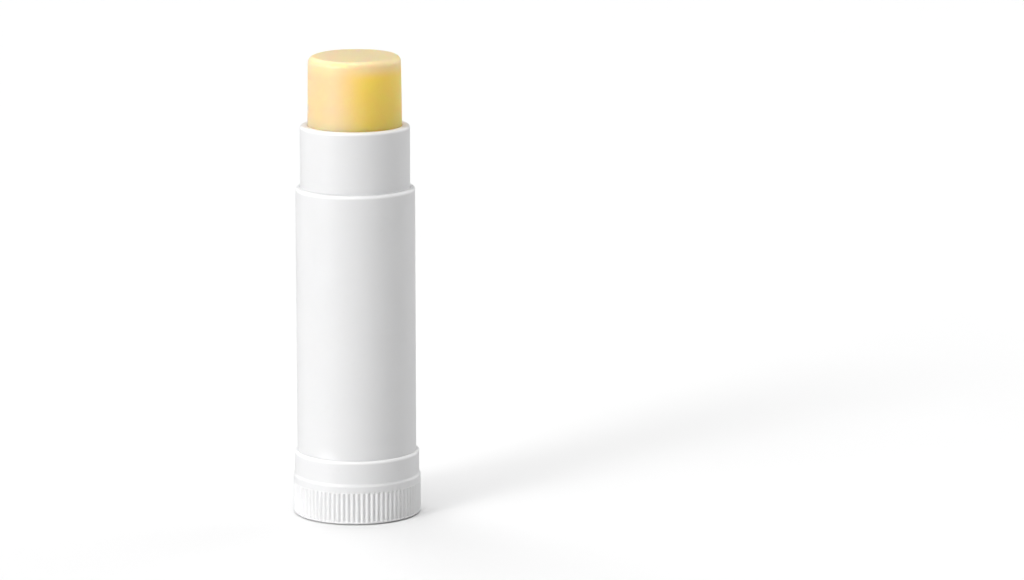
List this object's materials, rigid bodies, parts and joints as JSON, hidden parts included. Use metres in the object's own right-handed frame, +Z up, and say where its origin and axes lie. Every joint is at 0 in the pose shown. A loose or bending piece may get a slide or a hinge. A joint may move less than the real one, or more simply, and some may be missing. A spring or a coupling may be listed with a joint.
{
  "type": "lip balm stick",
  "caption": "Twist-up lip balm stick without its cap: a ribbed dial turns a threaded spindle that raises the balm out of a slim tube.",
  "frame": {"origin": "middle of the face that the stick stands on, on the tube's axis", "axes": "+Z up along the tube's axis, towards the balm; +X and +Y across the tube, each through a pair of the carrier's guide lugs"},
  "size_m": [0.0116, 0.0116, 0.0424],
  "materials": {
    "tube_plastic": "satin",
    "dial_plastic": "satin",
    "inner_plastic": "satin",
    "balm_wax": "satin"
  },
  "bodies": {
    "tube": {"inner_sleeve": "tube_plastic", "outer_barrel": "tube_plastic"},
    "dial": {"thumb_dial": "dial_plastic", "screw_spindle": "inner_plastic"},
    "carrier": {"carrier_cup": "inner_plastic", "balm": "balm_wax"}
  },
  "joints": [
    {"name": "dial_turn", "type": "hinge", "parent": "tube", "child": "dial", "pos_m": [0, 0, 0], "axis": [0, 0, 1], "range_deg": [-990, 2670]},
    {"name": "carrier_lift", "type": "slide", "parent": "tube", "child": "carrier", "axis": [0, 0, 1], "range_m": [-0.00687, 0.01854]}
  ],
  "couplings": [
    {"joint": "dial_turn", "follows": "carrier_lift", "rad_per_m": 2513.3}
  ]
}
